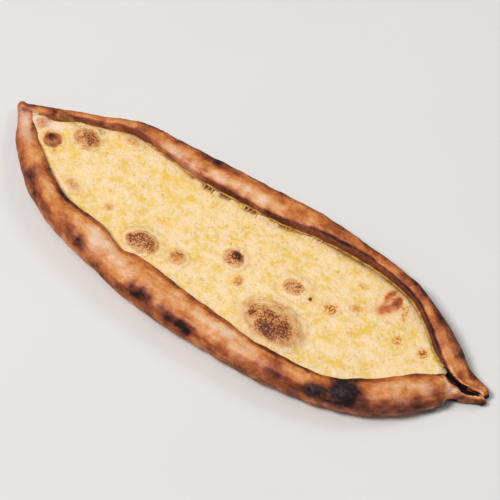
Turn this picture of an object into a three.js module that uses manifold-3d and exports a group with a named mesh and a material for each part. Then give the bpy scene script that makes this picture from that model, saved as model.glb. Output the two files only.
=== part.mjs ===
// A cheese pide: a boat-shaped flatbread whose two long edges are rolled up into rims and pinched into a
// point at each end, with a layer of melted cheese between them. It is one piece of bread and one piece of
// filling. Millimetres, +Z up, resting on z = 0. X runs along the loaf from its left tip to its right tip,
// and the origin is under the middle of its bounding box.

import * as THREE from "three";
import { mergeVertices } from "three/addons/utils/BufferGeometryUtils.js";
import Module from "manifold-3d";

const wasm = await Module();
wasm.setup();

// Heights above the table.
const BASE_TOP = 6; // the flat dough under the filling
const CHEESE_TOP = 14.5; // the general level of the filling
const CHEESE_SWELL = 1.4; // how far the filling rises and falls between its blisters
const BROAD_SWELL = { x: 23, y: 17 }; // divide the distances along and across to give a broad wave
const NARROW_SWELL = { x: 11, y: 13 };
const BLISTER_SHOULDER = 1.2; // 1 is a plain dome, and more eases it into the filling round it

// How finely the shapes are cut.
const RIM_SIDES = 18;
const BASE_STEPS = 80;
const CHEESE_STEPS = 84;
const CHEESE_CELLS = 18;
const CLEARANCE = 0.3; // between the filling and the bread that holds it

// A rim's two ends are rounded off over a short share of its length.
const TIP_SHARES = [0.0005, 0.003, 0.007]; // where the extra rings lie
const TIP_LENGTH = 0.009;

// The section of a rolled rim, as shares of its half width and half height.
const SQUARENESS = 2.35; // 2 is an ellipse, and more is fuller at the shoulders
const LIP_ANGLE = 138; // degrees round the section, from its outer side over the crest
const LIP_SPREAD = 20;
const HOLLOW_ANGLE = 176;
const HOLLOW_SPREAD = 17;
const SIZE_TENSION = 0.4; // how softly a rim's width and height pass from knot to knot
const LUMPS = 0.035; // how far hand-rolled dough swells and dips along its length
const LUMP_LENGTHS = [7.5, 5.2]; // divide the distance along to give the two waves that make the lumps

// The rims in plan. A knot is the middle of the roll, its width and the height of its crest. lip and hollow
// are how far the roll hangs over the filling and is cut in under it. The near rim bulges more than the far
// one, and it is pinched where two folds of dough overlap.
const NEAR_RIM = {
  lip: 0.06,
  hollow: 0.08,
  steps: 88,
  knots: [
    { x: -237, y: 4.5, wide: 8, high: 12 },
    { x: -224, y: -4, wide: 13, high: 15.5 },
    { x: -199, y: -28.5, wide: 21, high: 20 },
    { x: -171, y: -48.5, wide: 24, high: 24 },
    { x: -138, y: -63.5, wide: 25, high: 26 },
    { x: -97, y: -70.5, wide: 31, high: 26.5 },
    { x: -73, y: -76, wide: 27, high: 24.5 },
    { x: -57, y: -77.5, wide: 33, high: 27.5 },
    { x: -36, y: -78, wide: 35, high: 27 },
    { x: 3, y: -80.5, wide: 31.5, high: 26.5 },
    { x: 41, y: -80.5, wide: 28, high: 27 },
    { x: 62, y: -80.5, wide: 24.5, high: 26 },
    { x: 97, y: -77.5, wide: 24, high: 27 },
    { x: 132, y: -70, wide: 22.5, high: 26 },
    { x: 163, y: -52.5, wide: 28, high: 25.5 },
    { x: 189, y: -27.5, wide: 29, high: 22 },
    { x: 197.7, y: -18.4, wide: 27, high: 20.5 },
    { x: 203.5, y: -11.4, wide: 21.5, high: 18 },
    { x: 208.4, y: -11.3, wide: 12.5, high: 15.5 },
    { x: 213, y: -11.2, wide: 6.5, high: 13.8 },
    { x: 218.8, y: -9.9, wide: 5, high: 12.5 },
    { x: 224.5, y: -6.8, wide: 4.6, high: 11.5 },
    { x: 235.5, y: 0, wide: 4.5, high: 9 },
  ],
};
const FAR_RIM = {
  lip: 0.12,
  hollow: 0.16,
  steps: 88,
  knots: [
    { x: -233, y: 3, wide: 5.5, high: 11 },
    { x: -213, y: 7.5, wide: 6.5, high: 15 },
    { x: -186, y: 17.3, wide: 8.5, high: 19.5 },
    { x: -158, y: 27.5, wide: 11.5, high: 22.5 },
    { x: -141, y: 35, wide: 13, high: 24 },
    { x: -120, y: 39, wide: 17, high: 25 },
    { x: -90, y: 39, wide: 21, high: 25 },
    { x: -58, y: 39.5, wide: 26, high: 25.5 },
    { x: -20, y: 42, wide: 27, high: 25.5 },
    { x: 20, y: 45.5, wide: 26, high: 25.5 },
    { x: 50, y: 48.5, wide: 21, high: 26 },
    { x: 90, y: 48.5, wide: 15, high: 26 },
    { x: 122, y: 46, wide: 13, high: 25.5 },
    { x: 147, y: 40.5, wide: 14, high: 25 },
    { x: 169.8, y: 28.7, wide: 18.3, high: 24 },
    { x: 186.8, y: 17.1, wide: 22, high: 22 },
    { x: 201.9, y: 7.7, wide: 17.6, high: 18.5 },
    { x: 215.2, y: 4.6, wide: 13, high: 15 },
    { x: 225.2, y: 4.9, wide: 10.4, high: 12.5 },
    { x: 234.2, y: 5.2, wide: 6, high: 9.5 },
  ],
};
// A second, lower fold that lies inside the far rim at its left end.
const INNER_FOLD = {
  lip: 0.1,
  hollow: 0,
  steps: 26,
  knots: [
    { x: -229, y: 1, wide: 4, high: 9 },
    { x: -212, y: 3, wide: 6, high: 14 },
    { x: -197, y: 8, wide: 7, high: 17 },
    { x: -180, y: 15, wide: 4, high: 14 },
  ],
};

// Where the base and the filling stop short of the tips, as shares of the rims' length.
const BASE_ENDS = [0.01, 0.985];
const CHEESE_ENDS = [0.035, 0.922];

// Blisters in the filling. Each is an oval dome: its centre, its length along the loaf, its width, its rise.
const BLISTERS = [
  { x: 66, y: -47, long: 62, wide: 42, rise: 7.5 },
  { x: -65, y: -47, long: 38, wide: 27, rise: 5.5 },
  { x: 63, y: -7, long: 38, wide: 26, rise: 3 },
  { x: 136, y: 25, long: 36, wide: 26, rise: 4 },
  { x: -163, y: 5, long: 30, wide: 22, rise: 4.5 },
  { x: -187, y: -13, long: 20, wide: 17, rise: 4.5 },
  { x: 7, y: -16, long: 24, wide: 18, rise: 4 },
  { x: -31, y: -43, long: 20, wide: 15, rise: 3 },
  { x: -131, y: 24, long: 26, wide: 15, rise: 2.5 },
  { x: -145, y: -41, long: 20, wide: 14, rise: 2.5 },
  { x: -207, y: -4, long: 22, wide: 14, rise: 5 },
];

// Turns a closed geometry into a solid that can be joined and cut.
function solidOf(geometry) {
  geometry.deleteAttribute("normal");
  geometry.deleteAttribute("uv");
  const merged = mergeVertices(geometry, 1e-4);
  return new wasm.Manifold(
    new wasm.Mesh({
      numProp: 3,
      vertProperties: merged.attributes.position.array,
      triVerts: new Uint32Array(merged.index.array),
    }),
  );
}

// Turns a solid back into a geometry.
function geometryOf(solid) {
  const mesh = solid.getMesh();
  const geometry = new THREE.BufferGeometry();
  geometry.setAttribute("position", new THREE.BufferAttribute(mesh.vertProperties, 3));
  geometry.setIndex(new THREE.BufferAttribute(mesh.triVerts, 1));
  geometry.computeVertexNormals();
  return geometry;
}

// A geometry from its points and the triangles between them.
function geometryFrom(points, triangles) {
  const geometry = new THREE.BufferGeometry().setFromPoints(points);
  geometry.setIndex(triangles);
  return geometry;
}

// The two triangles of a cell whose corners go round it anticlockwise, seen from outside.
function cell(a, b, c, d) {
  return [a, b, c, a, c, d];
}

// A rim's middle line and its sizes, at any share of the way from the left tip to the right tip.
function rimRun(rim) {
  const middle = new THREE.CatmullRomCurve3(
    rim.knots.map((k) => new THREE.Vector3(k.x, k.y, 0)),
    false,
    "centripetal",
  );
  const sizes = new THREE.CatmullRomCurve3(
    rim.knots.map((k) => new THREE.Vector3(k.wide, k.high, 0)),
    false,
    "catmullrom",
    SIZE_TENSION,
  );
  return (share) => {
    const knot = middle.getUtoTmapping(share);
    const size = sizes.getPoint(knot);
    const along = middle.getTangent(knot);
    return {
      at: middle.getPoint(knot),
      outward: new THREE.Vector3(along.y, -along.x, 0), // to the right of the way along
      wide: size.x,
      high: size.y,
    };
  };
}

const nearRun = rimRun(NEAR_RIM);
const farRun = rimRun(FAR_RIM);
const foldRun = rimRun(INNER_FOLD);

// A smooth bump of height 1 at an angle in degrees.
function bump(angle, middle, spread) {
  return Math.exp(-(((angle - middle) / spread) ** 2));
}

// The unevenness of a rim at a place along it and an angle round it.
function lumps(x, angle) {
  const slow = Math.sin(x / LUMP_LENGTHS[0] + 2 * angle);
  const quick = Math.sin(x / LUMP_LENGTHS[1] - angle + 1);
  return LUMPS * slow * quick;
}

// How far a rim is drawn in at a share of its length, from 1 along most of it to near 0 at its two ends.
function tipSize(share) {
  const fromEnd = Math.min(share, 1 - share) / TIP_LENGTH;
  return fromEnd < 1 ? Math.sqrt(1 - (1 - fromEnd) ** 2) : 1;
}

// The shares of a rim's length at which it has a ring.
function ringShares(steps) {
  const even = [];
  for (let j = 1; j < steps; j++) even.push(j / steps);
  return [...TIP_SHARES, ...even, ...TIP_SHARES.map((share) => 1 - share).reverse()];
}

// One ring of a rolled rim. The angle starts at its outer side and goes over the crest to its inner side,
// where the roll hangs over the filling as a lip with a hollow under it. The underside is pressed flat on
// the table.
function rimRing(share, run, side, rim, grow) {
  const station = run(share);
  const tip = tipSize(share);
  const ring = [];
  const halfWidth = (station.wide / 2) * tip + grow;
  const halfHeight = (station.high / 2) * tip + grow;
  for (let i = 0; i < RIM_SIDES; i++) {
    const angle = (i / RIM_SIDES) * 360;
    const c = Math.cos((angle * Math.PI) / 180);
    const s = Math.sin((angle * Math.PI) / 180);
    const full = (Math.abs(c) ** SQUARENESS + Math.abs(s) ** SQUARENESS) ** (-1 / SQUARENESS);
    const lip = rim.lip * bump(angle, LIP_ANGLE, LIP_SPREAD);
    const hollow = rim.hollow * bump(angle, HOLLOW_ANGLE, HOLLOW_SPREAD);
    const reach = full * (1 + lip - hollow + lumps(station.at.x, (angle * Math.PI) / 180));
    ring.push(
      station.at
        .clone()
        .addScaledVector(station.outward, side * halfWidth * reach * c)
        .setZ(Math.max(0, station.high / 2 + halfHeight * reach * s)),
    );
  }
  return side > 0 ? ring : ring.reverse();
}

// A rolled rim: its rings joined one to the next, and a point at each end. side is 1 on the near side, where
// outward is to the right of the way along, and -1 on the far side.
function rimSolid(rim, run, side, grow = 0) {
  const points = [];
  const triangles = [];
  const shares = ringShares(rim.steps);
  for (const share of shares) points.push(...rimRing(share, run, side, rim, grow));
  const last = (shares.length - 1) * RIM_SIDES;
  const tips = [0, 1].map((share) => {
    const station = run(share);
    points.push(station.at.clone().setZ(station.high / 2));
    return points.length - 1;
  });
  for (let i = 0; i < RIM_SIDES; i++) {
    const next = (i + 1) % RIM_SIDES;
    for (let row = 0; row < last; row += RIM_SIDES) {
      triangles.push(...cell(row + i, row + RIM_SIDES + i, row + RIM_SIDES + next, row + next));
    }
    triangles.push(tips[0], i, next, tips[1], last + next, last + i);
  }
  return solidOf(geometryFrom(points, triangles));
}

// The ground between the rims' middle lines, as rows of points across it from the near rim to the far rim.
function groundRows(ends, steps, cells) {
  const rows = [];
  for (let j = 0; j <= steps; j++) {
    const share = ends[0] + ((ends[1] - ends[0]) * j) / steps;
    const near = nearRun(share).at;
    const far = farRun(share).at;
    const row = [];
    for (let i = 0; i <= cells; i++) row.push(near.clone().lerp(far, i / cells));
    rows.push(row);
  }
  return rows;
}

// A slab on the ground between the rims, from a flat underside up to the height that top gives at a point.
function slabSolid(ends, steps, cells, underside, top) {
  const rows = groundRows(ends, steps, cells);
  const points = rows.flat().map((p) => p.clone().setZ(top(p.x, p.y)));
  const triangles = [];
  const index = (j, i) => j * (cells + 1) + i;
  for (let j = 0; j < steps; j++)
    for (let i = 0; i < cells; i++)
      triangles.push(...cell(index(j, i), index(j + 1, i), index(j + 1, i + 1), index(j, i + 1)));

  const border = [];
  for (let j = 0; j < steps; j++) border.push(index(j, 0));
  for (let i = 0; i < cells; i++) border.push(index(steps, i));
  for (let j = steps; j > 0; j--) border.push(index(j, cells));
  for (let i = cells; i > 0; i--) border.push(index(0, i));
  const first = points.length;
  const outline = border.map((k) => new THREE.Vector2(points[k].x, points[k].y));
  outline.forEach((p) => points.push(new THREE.Vector3(p.x, p.y, underside)));
  border.forEach((k, n) => {
    const after = (n + 1) % border.length;
    triangles.push(...cell(k, first + n, first + after, border[after]));
  });
  for (const [a, b, c] of THREE.ShapeUtils.triangulateShape(outline, []))
    triangles.push(first + a, first + c, first + b);
  return solidOf(geometryFrom(points, triangles));
}

// The height of the filling: a gentle swell, and the blisters on it.
function cheeseHeight(x, y) {
  const broad = Math.sin(x / BROAD_SWELL.x + 1) * Math.cos(y / BROAD_SWELL.y);
  const narrow = Math.sin(x / NARROW_SWELL.x - y / NARROW_SWELL.y);
  let height = CHEESE_TOP + CHEESE_SWELL * (broad / 2 + narrow / 4);
  for (const b of BLISTERS) {
    const away = Math.hypot((x - b.x) / (b.long / 2), (y - b.y) / (b.wide / 2));
    if (away < 1) height += b.rise * (1 - away ** 2) ** BLISTER_SHOULDER;
  }
  return height;
}

// The rims, grown by a clearance when they are used to cut the filling.
function rims(grow = 0) {
  return rimSolid(NEAR_RIM, nearRun, 1, grow)
    .add(rimSolid(FAR_RIM, farRun, -1, grow))
    .add(rimSolid(INNER_FOLD, foldRun, -1, grow));
}

function bread() {
  const base = slabSolid(BASE_ENDS, BASE_STEPS, 1, 0, () => BASE_TOP);
  return geometryOf(rims().add(base));
}

function cheese() {
  const layer = slabSolid(CHEESE_ENDS, CHEESE_STEPS, CHEESE_CELLS, BASE_TOP + CLEARANCE, cheeseHeight);
  return geometryOf(layer.subtract(rims(CLEARANCE)));
}

function part(name, geometry, finish) {
  const mesh = new THREE.Mesh(geometry, new THREE.MeshStandardMaterial({ metalness: 0, ...finish }));
  mesh.name = name;
  return mesh;
}

const pide = new THREE.Group();
pide.add(part("bread", bread(), { color: 0xc98a55, roughness: 0.75 }));
pide.add(part("cheese", cheese(), { color: 0xf0d795, roughness: 0.45 }));

// Put the origin under the middle of the whole.
const extent = new THREE.Box3().setFromObject(pide);
const middle = extent.getCenter(new THREE.Vector3());
for (const mesh of pide.children) mesh.position.set(-middle.x, -middle.y, -extent.min.z);

export default pide;
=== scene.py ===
# The looks of a cheese pide: a boat-shaped flatbread whose rolled rims are browned and charred in places,
# round a layer of melted, blistered cheese. Lengths are in millimetres up to the finished mesh, which is in
# metres. The frame is the imported model's: X along the loaf, Y towards its far rim, Z up. The numbers inside
# the functions for the crust and the cheese were given one by one: places along the loaf and heights in mm,
# sizes and seeds of noise, how far a surface faces out of the loaf, and shares of its baking and of its
# painted shade and highlights.

from collections import namedtuple
from itertools import product
from math import cos, radians, sin

import bmesh
import bpy
import numpy as np
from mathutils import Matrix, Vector
from mathutils.bvhtree import BVHTree


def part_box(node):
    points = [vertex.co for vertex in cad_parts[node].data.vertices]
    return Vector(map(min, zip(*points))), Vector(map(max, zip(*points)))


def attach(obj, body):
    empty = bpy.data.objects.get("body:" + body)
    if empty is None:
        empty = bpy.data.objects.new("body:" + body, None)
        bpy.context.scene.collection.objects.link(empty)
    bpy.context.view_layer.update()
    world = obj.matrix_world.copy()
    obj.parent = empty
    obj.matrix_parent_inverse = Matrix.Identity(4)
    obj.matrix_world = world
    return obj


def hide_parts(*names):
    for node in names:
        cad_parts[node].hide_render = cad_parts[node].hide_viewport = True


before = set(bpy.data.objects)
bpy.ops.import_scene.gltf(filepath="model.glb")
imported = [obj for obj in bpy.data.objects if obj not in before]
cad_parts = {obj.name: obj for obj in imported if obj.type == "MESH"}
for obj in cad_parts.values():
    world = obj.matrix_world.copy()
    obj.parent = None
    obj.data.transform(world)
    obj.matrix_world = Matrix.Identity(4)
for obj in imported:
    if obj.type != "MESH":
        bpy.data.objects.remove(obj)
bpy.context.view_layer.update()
SCENE = bpy.context.scene
MM = 0.001

# The viewpoint, worked out from the ellipse of the round plate under the loaf.
CAMERA_TURN = radians(36.2)
CAMERA_ELEVATION = radians(59)
CAMERA_DISTANCE = 1300
CAMERA_TARGET = (7.37, 23.95, 0)
SENSOR = 36
LENS = 114.75

# How finely the two surfaces are cut.
CRUST_CELL = 1.35
CHEESE_CELL = 0.76

# The cheese reaches this far into the rims, so that no gap shows round it.
CHEESE_OVERLAP = 1.0
CHEESE_UNDERSIDE = 6.3

# Between these places along the loaf its right end turns into two thin lips with a slit between them.
TAIL = (196, 203)

# Stretches of the loaf: where each sets in, is at its full, begins to fade and is over.
NEAR_LIP = (200, 212, 229, 235)
FAR_LIP = (198, 206, 220, 228)
REDDER_NEAR_RIM = (125, 155, 190, 205)
DARKER_FAR_RIM = (50, 90, 180, 200)
DARKER_FAR_WALL = (-50, -30, 10, 40)
FAINTER_NEAR_WALL = (-110, -90, -45, -20)
TORN_EDGE = (-95, -50, 5, 70)
STAINED_AND_SHADED_EDGE = (40, 80, 182, 195)

# The middle of that slit in plan, and how far its two lips are drawn together.
SLIT_X = [196, 204, 208, 212, 216, 220, 224, 228, 234]
SLIT_Y = [17, 16.5, 15.7, 15, 14.4, 15, 16.3, 18, 20]
SLIT_HALF_WIDTH = 3.0
NEAR_LIP_SHIFT = 1.7
FAR_LIP_SHIFT = 0.9

# A mark on a surface: its middle in plan, its length, its breadth, how much darker it makes the surface,
# mostly by baking and for a few crust marks as painted shade, where less than 0 is paler, for a few crust
# marks as a painted highlight, and the way its length points in degrees from +X.
Mark = namedtuple("Mark", "x y long wide bake turn", defaults=[0])


def marks(*rows):
    return [Mark(*row) for row in rows]


# Browned and pale places on the near rim, among them some painted highlights, as noted below.
NEAR_RIM_MARKS = marks(
    (-226, 14, 40, 24, -0.12, -52),
    (-210, -1, 46, 20, -0.24, -50),
    # A pale streak at the left tip, a painted highlight.
    (-216, 10, 12, 6, -0.14, -50),
    (-194, -10, 34, 16, -0.14, -42),
    (-203, 2, 20, 4, 0.22, -52),
    (-192, -32, 30, 6, 0.06, -42),
    (-183, -17, 7, 5, 0.12),
    (-171, -35, 22, 18, 0.18, -30),
    (-147, -51, 26, 15, 0.24, -24),
    (-160, -45, 34, 10, 0.08, -28),
    (-140, -56, 44, 8, 0.08, -20),
    (-120, -47, 44, 12, -0.14, -12),
    (-150, -36, 36, 8, -0.08, -24),
    (-103, -61, 24, 13, 0.34, -8),
    (-112, -55, 30, 10, 0.1, -12),
    # A pale cream patch, partly paler dough and partly a painted highlight.
    (-80, -52, 44, 18, -0.34, -14),
    (-82, -47, 5, 4, 0.16),
    (-53, -55, 8, 6, 0.12),
    (-30, -71, 26, 12, 0.32, 4),
    (-40, -58, 30, 10, -0.06),
    (-16, -55, 60, 10, -0.06),
    (12, -74, 34, 11, 0.4),
    (8, -66, 24, 8, 0.1),
    # These three pale marks on the crest are partly paler dough and partly painted highlights.
    (21, -60, 30, 12, -0.14),
    (38, -59, 40, 12, -0.24),
    (72, -61, 30, 12, -0.14, 4),
    (97, -66, 30, 11, 0.22, 7),
    (90, -54, 26, 9, 0.14, 4),
    (107, -54, 9, 5, 0.16),
    (116, -56, 34, 9, -0.1, 12),
    (168, -33, 42, 8, -0.08, 38),
    (166, -22, 30, 5, 0.1, 42),
    (196, -20, 16, 12, 0.12, 50),
    (188, -10, 44, 8, -0.14, 38),
    (184, -22, 40, 12, 0.06, 38),
    (183, -16, 8, 6, 0.24, 40),
    (186, -30, 54, 9, 0.08, 38),
    (172, -31, 40, 5, 0.07, 38),
    (201, 0, 11, 10, 0.12, 40),
    (190, -7, 22, 12, -0.15, 40),
    (170, -27, 30, 8, -0.05, 38),
    (210, 4, 14, 12, -0.34),
    # Pale lines along the near lip of the slit, partly paler dough and partly a painted highlight.
    (203, 10.4, 14, 4, -0.4, -30),
    (213, 8.6, 18, 4, -0.4, 5),
    (228, 14.5, 18, 4, -0.3, 30),
    (222, 9, 30, 4, 0.12, 25),
)

# Char on the near rim, with sharper edges.
CHAR_MARKS = marks(
    (148, -46.5, 31, 18.5, 0.66, 22),
    (148.5, -46.5, 20, 13, 0.26, 22),
    (127.5, -59, 20, 17, 0.48, 18),
)

# Grey on the char: a painted sheen, partly ash.
ASH_AND_SHEEN_MARKS = marks(
    (128, -59, 12, 9, 0.8, 18),
    (144, -49, 12, 15, 0.6, 24),
    (153, -43, 10, 12, 0.3, 24),
)

# Where the crust looks pink or purplish. On the far rim's inner side the purple is painted shade.
BLUSH_MARKS = marks(
    (-224, 14, 40, 30, 0.9, -52),
    (-208, -2, 40, 22, 0.7, -50),
    (-172, -35, 26, 20, 0.95, -30),
    (-92, -60, 44, 18, 0.7),
    (-30, -70, 60, 12, 0.4),
    (80, -66, 70, 14, 0.6, 8),
    (165, -45, 80, 16, 0.8, 35),
    (200, -8, 26, 20, 0.6, 40),
    # This purple on the far rim's inner side is painted shade.
    (-85, 48, 70, 20, 0.9),
    (214, 6, 44, 16, 0.8, 24),
    # This pink tints the painted highlight on the far rim.
    (-42, 52, 26, 12, 0.7),
    (185, 42, 50, 14, 0.5, -35),
)

# Browned and pale places on the far rim, among them some painted shadows and highlights, as noted below.
FAR_RIM_MARKS = marks(
    (-222, 24, 24, 4, 0.24, 20),
    # These two dark lines are painted shadow under the overhanging crest at the left end.
    (-200, 29, 18, 3, 0.28, 14),
    (-187, 32, 14, 4, 0.36, 14),
    (-199, 26, 10, 5, 0.1),
    # A painted highlight on the brown bubble.
    (-197, 27.5, 4, 2.5, -0.3),
    (-170, 37, 60, 5, 0.06, 22),
    (-118, 65, 60, 8, 0.2, 8),
    (-140, 54, 60, 9, -0.1, 16),
    (-113, 57, 24, 10, -0.12, 6),
    (-92, 54, 26, 10, -0.24),
    (-88, 60, 16, 6, 0.06),
    (-56, 64, 26, 12, 0.27, 10),
    (-74, 52, 9, 3, 0.2),
    # These four pale marks along the crest are painted highlights.
    (-42, 53, 24, 10, -0.34),
    (-20, 56, 60, 9, -0.25),
    (-6, 59, 40, 9, -0.22),
    (14, 58, 30, 8, -0.21, 4),
    (5, 62, 6, 4, 0.12),
    (122, 66, 8, 9, -0.08),
    (160, 56, 70, 8, 0.1, -28),
    (188, 33, 24, 8, -0.06, -40),
    (168, 45, 24, 10, -0.13, -40),
    (217, 23.5, 14, 9, 0.22, 20),
    (201, 34, 8, 6, 0.18, -40),
    (213, 27, 10, 8, 0.14, -30),
    (212, 24, 26, 6, -0.12, -30),
    (206, 23, 22, 6, -0.16, -30),
    (195, 27, 26, 10, -0.13, -45),
    (228, 26, 16, 6, -0.1, -20),
    # Pale lines along the far lip of the slit, partly paler dough and partly a painted highlight.
    (206, 17.6, 14, 4, -0.35, -20),
    (217, 20.8, 16, 4, -0.35, 20),
)

# The browned skin of the blisters, with a sharp edge.
BLISTER_TOPS = marks(
    (65, -26, 59, 36, 0.6, -6),
    (-60, -29, 30, 19, 0.78, 10),
    (-30, -24, 15, 14, 0.6),
    (7, 2, 20, 15, 0.7, -10),
    (61, 9, 18, 14, 0.5),
    (-162, 23, 25, 20, 0.56),
    (-184, 6, 16, 16, 1.05, 20),
)

# Browned places on the cheese with a soft edge, and darker ones within the blisters.
CHEESE_MARKS = marks(
    (70, -36, 22, 13, 0.6),
    (54, -22, 16, 10, 0.2, -20),
    (82, -30, 14, 16, 0.16),
    (58, -17, 38, 13, -0.4, -6),
    (-54, -27, 10, 8, 0.2),
    (9, 5, 9, 8, 1.1),
    (22, -12, 9, 12, 0.5),
    (58, 11, 6, 5, 0.3),
    (78, 8, 3.4, 3, 1.6),
    (112, 23, 14, 9, 0.12, 30),
    (-105, -18, 10, 8, 0.36),
    (-142, -19, 22, 12, 0.4),
    (-129, 44, 17, 10, 0.4),
    (-151, 24, 6, 8, 0.3),
    (-188, 5, 7, 10, 0.6, 20),
    (-180, 7, 6, 6, 0.6, 20),
    (-177, -1, 4, 4, 0.5),
    (-180, 2, 5, 4, 0.3),
)

# Smooth brown skin, without scorched strokes in it.
SMUDGE_MARKS = marks(
    (130.5, 35.3, 17, 11, 0.4, 36),
    (136.2, 44.6, 13, 9, 0.76, 80),
    (128, 49.2, 11, 8, 0.52, 60),
    (126.6, 42.5, 12, 5, 0.26, 100),
    (112, 23, 12, 8, 0.2, 30),
    (-186.4, 7.4, 13, 11, 1.2, 20),
    (-202, 13, 13, 11, 0.36, -30),
)

# The wider, paler rings of the blisters.
CHEESE_RINGS = marks(
    (67, -28, 68, 46, 0.8, -4),
    (-61, -29, 42, 28, 0.7, 10),
    (-30, -24, 22, 19, 0.5),
    (9, 2, 27, 21, 0.55),
    (62, 9, 36, 26, 0.45),
    (95, 12, 18, 14, 0.3),
    (112, 23, 20, 14, 0.24, 30),
    (136, 42, 38, 29, 0.95, -20),
    (-163, 24, 33, 26, 0.5),
    (-184, 6, 24, 22, 0.4),
    (-143, -20, 26, 16, 0.3),
    (-129, 44, 26, 15, 0.3),
)

# Bare pale dough in the left end.
BARE_MARKS = marks(
    (-206, 14, 23, 13, 1.6, 20),
    (-192, 18, 16, 10, 0.9, 30),
)

# Olive patches on the cheese: stains, and painted shadow beside the far rim's fold at the left end.
OLIVE_MARKS = marks(
    (-217, 19, 9, 5, 0.8, 40),
    (-180, 30, 16, 6, 0.6, 12),
    (-157, 37, 10, 4, 0.8),
    (150, 21, 8, 6, 0.16),
    (175, 19, 10, 8, 0.2),
)

# Small smooth spots that have turned orange.
AMBER_MARKS = marks(
    (96, 11, 12, 10, 1),
    (112, 23, 10, 7, 0.5, 30),
    (154, 18, 8, 8, 1),
    (176, 20, 9, 8, 1),
    (22, -10, 6, 5, 0.6),
    (105, 42, 8, 6, 0.5),
    (147, 38, 7, 9, 0.6, 30),
    (144, 44, 7, 8, 0.7, 30),
    (120, 2, 5, 4, 0.4),
    (84, -2, 5, 5, 0.3),
    (-30, -25, 9, 8, 0.55),
    (-152, 22, 5, 8, 0.5),
    (-104, -18, 5, 5, 0.6),
)


def tint(red, green, blue):
    """A colour given as it looks on screen, from 0 to 255, as the linear colour that materials take."""
    shares = [c / 255 for c in (red, green, blue)]
    return (*(s / 12.92 if s <= 0.04045 else ((s + 0.055) / 1.055) ** 2.4 for s in shares), 1)


# Shaping tools


# Numbers that turn the place of a noise cell into a random one.
CELL_KEYS = np.array((73856093, 19349663, 83492791))
SCRAMBLES = ((13, 1274126177), (15, 2246822519))
LARGEST_KEY = 0x7FFFFFFF
SEED_STEP = 17.31


def noise(points, size, seed):
    """Smooth noise from about -1 to 1 at each point, in lumps about `size` mm across."""
    scaled = points / size + seed * SEED_STEP
    cell = np.floor(scaled).astype(np.int64)
    part = scaled - cell
    eased = part * part * (3 - 2 * part)
    total = np.zeros(len(points))
    for corner in product((0, 1), repeat=3):
        key = (cell + corner) @ CELL_KEYS
        for shift, factor in SCRAMBLES:
            key = (key ^ (key >> shift)) * factor & LARGEST_KEY
        total += (key / (LARGEST_KEY // 2) - 1) * np.prod(np.where(corner, eased, 1 - eased), axis=1)
    return total * 1.5


def ease(values, low, high):
    """0 below low, 1 above high and a smooth step between them."""
    share = np.clip((values - low) / (high - low), 0, 1)
    return share * share * (3 - 2 * share)


def hill(values, low, high, top, end):
    """A smooth step up from low to high, and one back down from top to end."""
    return ease(values, low, high) * (1 - ease(values, top, end))


def peak(values, middle, width, power=2):
    """1 at the middle, falling away over about `width` to either side. A higher power has a flatter top."""
    return np.exp(-(((values - middle) / width) ** power))


def noise_along(points, size, seed):
    """Noise that changes only with the place along the loaf."""
    return noise(points * (1, 0, 0), size, seed)


# The smallest lumps in a mark's edge, how fast a mark fades at its edge, and its outline.
SMALLEST_RAG = 1.5
MARK_FALL = 1.3
OUTLINE_AT = 0.97
OUTLINE_WIDTH = 0.1


def distance_in(points, mark, heights, ragged, seed):
    """How far each point is from the middle of a mark, where 1 is the mark's own ragged edge."""
    turn = radians(mark.turn)
    away = points - (mark.x, mark.y, heights(mark.x, mark.y))
    along = away[:, 0] * cos(turn) + away[:, 1] * sin(turn)
    across = away[:, 1] * cos(turn) - away[:, 0] * sin(turn)
    sides = (across**2 + away[:, 2] ** 2) / (mark.wide / 2) ** 2
    distance = np.sqrt((2 * along / mark.long) ** 2 + sides)
    lump = max((mark.long + mark.wide) / 8, SMALLEST_RAG)
    return np.maximum(distance + ragged * noise(points, lump, seed), 0)


def baked_by(points, heights, marks, ragged, crisp):
    """What a list of marks adds to the baking of each point. Crisper marks have sharper edges."""
    total = np.zeros(len(points))
    for n, mark in enumerate(marks):
        away = distance_in(points, mark, heights, ragged, n)
        total += mark.bake * np.exp(-MARK_FALL * away**crisp)
    return total


def outlined(points, heights, marks, ragged):
    """A thin line just inside the edge of every mark, from 0 to 1."""
    shade = np.zeros(len(points))
    for n, mark in enumerate(marks):
        away = distance_in(points, mark, heights, ragged, n)
        shade = np.maximum(shade, peak(away, OUTLINE_AT, OUTLINE_WIDTH))
    return shade


def relaxed(points, edges, rounds):
    """Points smoothed without shrinking: each round moves them in towards their neighbours and back out."""
    ends = np.concatenate([edges, edges[:, ::-1]])
    counts = np.bincount(ends[:, 0], minlength=len(points))[:, None]
    pull_in, push_out = 0.5, -0.52
    for pull in (pull_in, push_out) * rounds:
        sums = [np.bincount(ends[:, 0], points[ends[:, 1], k], len(points)) for k in range(3)]
        points = points + pull * (np.stack(sums, 1) / counts - points)
    return points


def joined_copy(node):
    """A copy of a CAD node's mesh whose loose triangles share their corners."""
    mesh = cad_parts[node].data.copy()
    work = bmesh.new()
    work.from_mesh(mesh)
    bmesh.ops.remove_doubles(work, verts=work.verts, dist=0.01 * MM)
    work.to_mesh(mesh)
    work.free()
    return mesh


def linked(name, mesh):
    """A new object in the scene that holds a mesh."""
    piece = bpy.data.objects.new(name, mesh)
    SCENE.collection.objects.link(piece)
    return piece


def new_mesh(name, points, edges=(), faces=()):
    """A mesh made from points in millimetres."""
    mesh = bpy.data.meshes.new(name)
    mesh.from_pydata(points * MM, edges, faces)
    mesh.update()
    return mesh


def finished(name, mesh, material):
    """A smooth piece in one material."""
    mesh.polygons.foreach_set("use_smooth", [True] * len(mesh.polygons))
    mesh.materials.clear()
    mesh.materials.append(material)
    return linked(name, mesh)


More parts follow.
